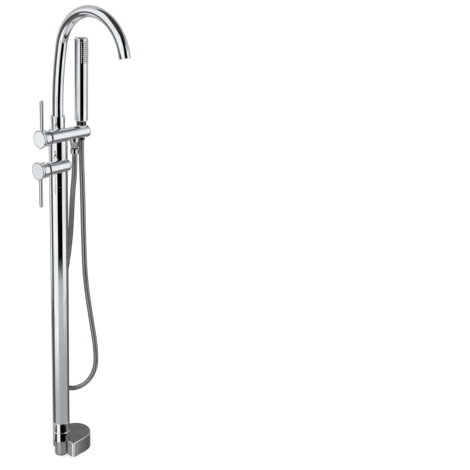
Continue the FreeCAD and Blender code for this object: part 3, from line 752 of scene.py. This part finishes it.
def knob_pieces(prefix, lever_way):
    """Knob, cap, lever and set screw on one bar."""
    low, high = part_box(prefix + "_knob")
    face = Vector(((low.x + high.x) / 2, low.y, (low.z + high.z) / 2))
    face_radius = half_width(prefix + "_knob")
    length = high.y - low.y
    cap_low, cap_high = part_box(prefix + "_cap")
    cap_radius = half_width(prefix + "_cap")
    cap_depth = cap_high.y - cap_low.y
    recess = cap_radius + cap_groove
    front = cap_depth + knob_front_wall
    hub_end = front + hub_length
    skirt_bore = skirt_radius - skirt_wall
    thin_edge = fine_edge / 2
    corners = [(0, cap_depth, 0), (recess, cap_depth, 0), (recess, 0, thin_edge),
               (face_radius - knob_chamfer, 0, thin_edge), (face_radius, knob_chamfer, thin_edge),
               (face_radius, knob_rim, soft_edge), (skirt_radius, knob_rim + knob_flare, soft_edge),
               (skirt_radius, length - knob_chamfer, thin_edge),
               (skirt_radius - knob_chamfer, length, thin_edge), (skirt_bore, length, 0),
               (skirt_bore, front, 0), (hub_radius, front, 0), (hub_radius, hub_end, 0),
               (stem_radius, hub_end, 0), (stem_radius, front, 0), (0, front, 0)]
    knob = turned(prefix + "_knob_polished", corners, face, BAR, knob_sides)
    screw_foot = face + BAR * set_screw_back - UP * lever_way * stem_radius
    combine(knob, rod(set_screw_radius, screw_foot, -UP * lever_way, face_radius), "DIFFERENCE")
    stand_for(knob, prefix + "_knob")

    cap_corners = [(0, 0, 0), (cap_radius, 0, fine_edge), (cap_radius, cap_depth, 0), (0, cap_depth, 0)]
    cap = turned(prefix + "_cap_polished", cap_corners, face, BAR, knob_sides)
    stand_for(cap, prefix + "_cap", cap_chrome)

    lever = prefix + "_lever"
    radius = half_width(lever)
    tip = top(lever) if lever_way > 0 else foot(lever)
    inside = skirt_radius - skirt_wall / 2
    lever_foot = Vector((face.x, middle(lever).y, face.z + lever_way * inside))
    reach = abs(tip - lever_foot.z)
    lever_corners = [(0, 0, 0), (radius, 0, 0), (radius, reach, radius * lever_tip_share), (0, reach, 0)]
    piece = turned(lever + "_polished", lever_corners, lever_foot, UP * lever_way, screw_sides)
    stand_for(piece, lever, lever_chrome)
    grub_screw(prefix + "_screw", -UP * lever_way)


def outlet_pieces():
    """Tapered nipple under the upper bar and the hose's nut on it."""
    low = foot("outlet_nipple")
    centre = middle("outlet_nipple")
    base = Vector((centre.x, centre.y, 0))
    radius = half_width("outlet_nipple")
    bar_axis = middle("mixer_knob").z
    taper_top = bar_axis - bar_radius - outlet_straight
    corners = [(water_bore, low, 0), (outlet_foot_radius, low, fine_edge), (radius, taper_top, soft_edge),
               (radius, bar_axis, 0), (water_bore, bar_axis, 0)]
    nipple = turned("outlet_nipple_polished", corners, base, UP)
    saddle = Vector((centre.x, centre.y - outlet_saddle_length / 2, bar_axis))
    combine(nipple, rod(bar_radius - fit_gap, saddle, BAR, outlet_saddle_length, knob_sides), "DIFFERENCE")
    stand_for(nipple, "outlet_nipple", outlet_chrome)

    corners = bevelled_ring("outlet_nut", half_width("outlet_nut"), water_bore, outlet_bevel)
    stand_for(turned("outlet_nut_polished", corners, base, UP), "outlet_nut", outlet_chrome)


def spray_sector(name, inner, outer):
    """Ring sector as tall as the spray strip, round the hand shower's axis, facing the spout's way."""
    centre = middle("hand_tube")
    low, high = foot("spray_pad"), top("spray_pad")
    shape = bmesh.new()
    rings = []
    for radius, height in ((inner, low), (outer, low), (outer, high), (inner, high)):
        ring = []
        for step in range(spray_steps + 1):
            turn = spray_half_angle * (2 * step / spray_steps - 1)
            x, y = centre.x + radius * math.cos(turn), centre.y + radius * math.sin(turn)
            ring.append(shape.verts.new((x, y, height)))
        rings.append(ring)
    for first, second in zip(rings, rings[1:] + rings[:1]):
        for step in range(spray_steps):
            shape.faces.new((first[step], first[step + 1], second[step + 1], second[step]))
    shape.faces.new([ring[0] for ring in rings])
    shape.faces.new([ring[-1] for ring in rings])
    return new_piece(name, shape)


def spray_nozzles(centre, radius):
    """Hollow nozzles in rows over the spray strip."""
    low, high = foot("spray_pad"), top("spray_pad")
    row_step = (high - low) / spray_rows
    column_step = 2 * spray_half_angle * spray_width_share / (spray_columns - 1)
    tip = nozzle_height + pad_rise
    depth = nozzle_height * nozzle_depth_share
    hole = nozzle_radius * nozzle_hole_share
    corners = [(0, 0, 0), (nozzle_radius, 0, 0),
               (nozzle_radius * nozzle_tip_share, tip, nozzle_radius * nozzle_round_share),
               (hole, tip, 0), (hole, depth, 0), (0, depth, 0)]
    nozzles = []
    for row in range(spray_rows):
        for column in range(spray_columns):
            turn = column_step * (column - (spray_columns - 1) / 2)
            outward = Vector((math.cos(turn), math.sin(turn), 0))
            base = centre + outward * radius + UP * (low + row_step * (row + 0.5))
            nozzles.append(turned("nozzle", corners, base, outward, nozzle_sides))
    return nozzles


def hand_pieces():
    """Hand shower with its spray strip, hose nut and the cradle that it stands in."""
    axis = middle("hand_tube")
    centre = Vector((axis.x, axis.y, 0))
    radius = half_width("hand_tube")
    bore = radius - hand_wall
    tube_low, tube_high = foot("hand_tube"), top("hand_tube")
    corners = ring_corners(radius, bore, tube_low, tube_high, fine_edge)
    tube = turned("hand_tube_polished", corners, centre, UP, knob_sides)
    combine(tube, spray_sector("cutter", bore - cut_margin, radius + cut_margin), "DIFFERENCE")
    stand_for(tube, "hand_tube", hand_chrome)

    pad = spray_sector("spray_pad_moulded", bore, radius + pad_rise)
    nozzles = spray_nozzles(centre, radius)
    stand_for(pad, "spray_pad", spray_plate)
    for nozzle in nozzles:
        nozzle.data.materials.append(spray_rubber)
    with bpy.context.temp_override(active_object=pad, selected_editable_objects=[pad] + nozzles):
        bpy.ops.object.join()

    cap_top = top("hand_cap")
    corners = [(0, tube_high, 0), (radius, tube_high, fine_edge), (radius, cap_top, hand_cap_round),
               (0, cap_top, 0)]
    stand_for(turned("hand_cap_polished", corners, centre, UP, knob_sides), "hand_cap", hand_chrome)

    shelf = foot("hand_tail") + tail_thread
    corners = [(water_bore, shelf, 0), (radius - tail_chamfer, shelf, fine_edge),
               (radius, shelf + tail_chamfer, fine_edge), (radius, tube_low, fine_edge),
               (water_bore, tube_low, 0)]
    stand_for(turned("hand_tail_polished", corners, centre, UP, knob_sides), "hand_tail", hand_chrome)

    nut_low, nut_high = foot("hand_nut"), top("hand_nut")
    nut_neck = half_width("hand_nut")
    seat = top("cradle_bush")
    corners = [(water_bore, nut_low, 0), (cradle_throat - nut_gap - nut_narrow, nut_low, soft_edge),
               (cradle_mouth - nut_gap, seat, 0), (nut_neck, seat, fine_edge),
               (nut_neck, nut_high, fine_edge), (water_bore, nut_high, 0)]
    # Painted shade: the nut gets the chrome darkened nearly to black
    stand_for(turned("hand_nut_polished", corners, centre, UP), "hand_nut", painted_shade_chrome)

    sleeve_low = foot("cradle_bush") + bar_wall
    flange = half_width("cradle_bush")
    flat = cradle_flat()
    corners = [(cradle_throat, sleeve_low, 0), (cradle_sleeve, sleeve_low, 0), (cradle_sleeve, flat, 0),
               (flange, flat, fine_edge), (flange, seat, soft_edge), (cradle_mouth, seat, fine_edge)]
    stand_for(turned("cradle_bush_moulded", corners, centre, UP), "cradle_bush")


def hose_line():
    """Points of the hose's smooth line, from its route's spline."""
    curve = bpy.data.curves.new("hose_route", "CURVE")
    curve.dimensions = "3D"
    curve.resolution_u = hose_route_steps
    spline = curve.splines.new("NURBS")
    spline.points.add(len(hose_route) - 1)
    for point, place in zip(spline.points, hose_route):
        point.co = (*place, 1)
    spline.order_u = hose_route_order
    spline.use_endpoint_u = True
    holder = bpy.data.objects.new("hose_route", curve)
    bpy.context.scene.collection.objects.link(holder)
    shown = holder.evaluated_get(bpy.context.evaluated_depsgraph_get())
    mesh = bpy.data.meshes.new_from_object(shown)
    points = [vertex.co.copy() for vertex in mesh.vertices]
    bpy.data.objects.remove(holder)
    return points


def walk(points, distances):
    """Place and direction at rising distances along a line of points."""
    found = []
    number = 0
    passed = 0
    run = (points[1] - points[0]).length
    for distance in distances:
        while distance > passed + run and number < len(points) - 2:
            passed += run
            number += 1
            run = (points[number + 1] - points[number]).length
        share = min((distance - passed) / run, 1)
        place = points[number].lerp(points[number + 1], share)
        before = points[max(number - 1, 0)]
        after = points[min(number + 2, len(points) - 1)]
        start = (points[number + 1] - before).normalized()
        end = (after - points[number]).normalized()
        found.append((place, start.lerp(end, share).normalized()))
    return found


def hose_piece():
    """Ribbed hose with its bore, bending between the column and the hand shower."""
    points = hose_line()
    length = sum((second - first).length for first, second in zip(points, points[1:]))
    ribs = round(length / hose_rib_pitch)
    shoulder = hose_radius - fit_gap
    rib_radii = (hose_root_radius, shoulder, hose_radius, shoulder, hose_root_radius)
    distances = []
    radii = []
    for rib in range(ribs):
        for share, radius in zip(rib_shares, rib_radii):
            distances.append((rib + share) * length / ribs)
            radii.append(radius)
    distances.append(length)
    radii.append(hose_root_radius)
    stations = [(place, along, radius) for (place, along), radius in zip(walk(points, distances), radii)]
    bore_distances = distances[::len(rib_shares)]
    inner = [(place, along, hose_bore_radius) for place, along in walk(points, bore_distances)]
    left = min(points, key=lambda point: point.x)
    right = max(points, key=lambda point: point.x)
    side = (right - left).cross(UP).normalized()
    hose = swept("ribbed_hose", stations + inner[::-1], side, hose_sides)
    smooth(hose, hose_sharp_angle)
    hose.data.materials.append(hose_chrome)
    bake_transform(hose)
    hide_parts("hose")


def dress_inner_nodes():
    """Finishes of the CAD nodes that stay as they are."""
    for node, piece in frame["nodes"].items():
        piece.data.materials.clear()
        piece.data.materials.append(finishes[slot_of[node]])


def make_camera():
    """Camera at the photograph's viewing angle."""
    azimuth = math.radians(camera_azimuth)
    aim = math.radians(camera_azimuth + camera_yaw)
    x, y = math.sin(azimuth) * camera_distance, -math.cos(azimuth) * camera_distance
    camera = bpy.data.objects.new("camera", bpy.data.cameras.new("camera"))
    camera.data.lens = camera_lens
    camera.data.sensor_width = camera_sensor
    turn = Matrix.Rotation(aim, 4, "Z") @ Matrix.Rotation(math.radians(90 - camera_pitch), 4, "X")
    roll = Matrix.Rotation(math.radians(camera_roll), 4, "Z")
    camera.matrix_world = Matrix.Translation((x, y, camera_height)) @ turn @ roll
    bpy.context.scene.collection.objects.link(camera)
    bpy.context.scene.camera = camera


# What the chrome mirrors: a pale room and soft-edged panels in it, where a later one covers an earlier one.
# Each has its turn from the camera's side and its lift, both as (from, to) in degrees, the softness of its
# edge in degrees and its brightness on screen
room_level = 0.70
studio_panels = {
    "floor": ((-200, 200), (-100, -38), 1, 0.45),
    "floor_glow": ((-200, 200), (-100, -52), 4, 0.80),
    "ceiling": ((-200, 200), (46, 100), 4, 0.22),
    "upper_left_softbox": ((-130, -20), (0, 60), 5, 0.92),
    "left_softbox": ((-72, -18), (-29, 45), 3, 0.95),
    "right_softbox": ((44, 92), (-25, 34), 4, 0.92),
    "left_screen": ((-126, -76), (-35, 6), 3, 0.32),
    "far_left_strip": ((-126, -105), (-24, -12), 2, 0.90),
    "right_screen": ((96, 165), (-40, -13), 5, 0.35),
    "front_screen": ((-17, 92), (-38, -28), 3, 0.62),
    "camera_flag": ((-17, 44), (-23, 75), 1, 0.03),
    "low_left_softbox": ((-60, -17), (-45, -38), 1, 0.95),
    "low_flag": ((-17, 75), (-45, -38), 1, 0.05),
    "low_left_screen": ((-130, -60), (-45, -38), 1, 0.18),
    "low_right_screen": ((75, 165), (-45, -38), 1, 0.22),
}

# Faint streaks over the panels: level above the lift where their way changes, upright below it. Their widths
# and that lift are in degrees
streak_depth = 0.36
streak_turn = 7.0
streak_lift = 5.0
streak_stretch_share = 0.1
streak_change_lift = -24.0

# From a brightness on screen to the light of a panel
mirror_gain = 1.12
screen_gamma = 2.2


def emitted(level):
    """Light that chrome turns into a brightness on screen."""
    return mirror_gain * level ** screen_gamma


def between(shader, value, limits, soft):
    """One between two limits and none outside them, with soft edges."""
    first, last = limits
    return shader.step(value, first - soft, first + soft) * shader.step(value, last + soft, last - soft)


def make_world():
    """Studio of pale and dark panels for the mirror rays, even light for the rest, white to the eye."""
    world = bpy.data.worlds.new("studio")
    world.use_nodes = True
    bpy.context.scene.world = world
    shader = Shader(world.node_tree)
    direction = shader.node("ShaderNodeTexCoord", {}, {}, "Generated")
    parts = shader.node("ShaderNodeSeparateXYZ", {}, {"Vector": direction})
    x, y, z = (Wire(shader, socket) for socket in parts.socket.node.outputs)
    azimuth = math.radians(camera_azimuth)
    toward = x * math.sin(azimuth) - y * math.cos(azimuth)
    right = x * math.cos(azimuth) + y * math.sin(azimuth)
    turn = x.math("ARCTAN2", right, toward) * math.degrees(1)
    lift = shader.node("ShaderNodeMath", {"operation": "ARCSINE"}, {0: z}) * math.degrees(1)
    studio = grey(emitted(room_level), cool)
    for turn_limits, lift_limits, soft, brightness in studio_panels.values():
        share = between(shader, turn, turn_limits, soft) * between(shader, lift, lift_limits, soft)
        studio = shader.mix(share, studio, grey(emitted(brightness), cool))
    across, along = turn * (1 / streak_turn), lift * (1 / streak_lift)
    upright = shader.node("ShaderNodeCombineXYZ", {}, {0: across, 1: along * streak_stretch_share})
    level = shader.node("ShaderNodeCombineXYZ", {}, {0: across * streak_stretch_share, 1: along})
    above = shader.step(lift, streak_change_lift - streak_lift, streak_change_lift)
    pattern = shader.noise(shader.mix(above, upright, level), 1.0, plain_detail)
    streaks = pattern * (2 * streak_depth) + (1 - streak_depth)
    streaked = {"Vector": studio, "Scale": streaks}
    studio = shader.node("ShaderNodeVectorMath", {"operation": "SCALE"}, streaked)
    path = shader.node("ShaderNodeLightPath")
    outputs = path.socket.node.outputs
    seen = Wire(shader, outputs["Is Camera Ray"])
    mirrored = Wire(shader, outputs["Is Glossy Ray"])
    even = shader.node("ShaderNodeBackground", {}, {"Color": grey(1.0), "Strength": room_light})
    reflections = shader.node("ShaderNodeBackground", {}, {"Color": studio, "Strength": 1.0})
    white = shader.node("ShaderNodeBackground", {}, {"Color": grey(1.0), "Strength": 1.0})
    first = shader.node("ShaderNodeMixShader", {}, {0: mirrored, 1: even, 2: reflections})
    last = shader.node("ShaderNodeMixShader", {}, {0: seen, 1: first, 2: white})
    shader.node("ShaderNodeOutputWorld", {}, {"Surface": last})


def make_floor():
    """Pale floor, left white to the eye but for the soft shadow on it."""
    shape = bmesh.new()
    bmesh.ops.create_grid(shape, x_segments=1, y_segments=1, size=floor_half)
    floor = new_piece("floor", shape)
    floor.visible_glossy = False
    material, shader = new_material("pale_floor")
    coat = shader.node("ShaderNodeBsdfDiffuse", {}, {"Color": grey(floor_paint)})
    glow = shader.node("ShaderNodeEmission", {}, {"Color": grey(1.0), "Strength": floor_light})
    both = shader.node("ShaderNodeAddShader", {}, {0: coat, 1: glow})
    shader.node("ShaderNodeOutputMaterial", {}, {"Surface": both})
    floor.data.materials.append(material)


def make_lamp():
    """Soft lamp overhead, not mirrored in the chrome."""
    lamp = bpy.data.lights.new("overhead_softbox", "AREA")
    lamp.size = lamp_size
    lamp.energy = lamp_power
    holder = bpy.data.objects.new("overhead_softbox", lamp)
    holder.location = lamp_place
    holder.rotation_euler = (Vector(lamp_target) - holder.location).to_track_quat("-Z", "Y").to_euler()
    holder.visible_glossy = False
    bpy.context.scene.collection.objects.link(holder)


make_camera()
dress_inner_nodes()
hose_piece()
base_pieces()
column_pieces()
spout_pieces()
knob_pieces("mixer", 1)
knob_pieces("diverter", -1)
grub_screw("collar_screw", -SPOUT)
grub_screw("socket_screw", -SPOUT)
outlet_pieces()
hand_pieces()
make_world()
make_floor()
make_lamp()
bpy.context.scene.view_settings.view_transform = "Standard"
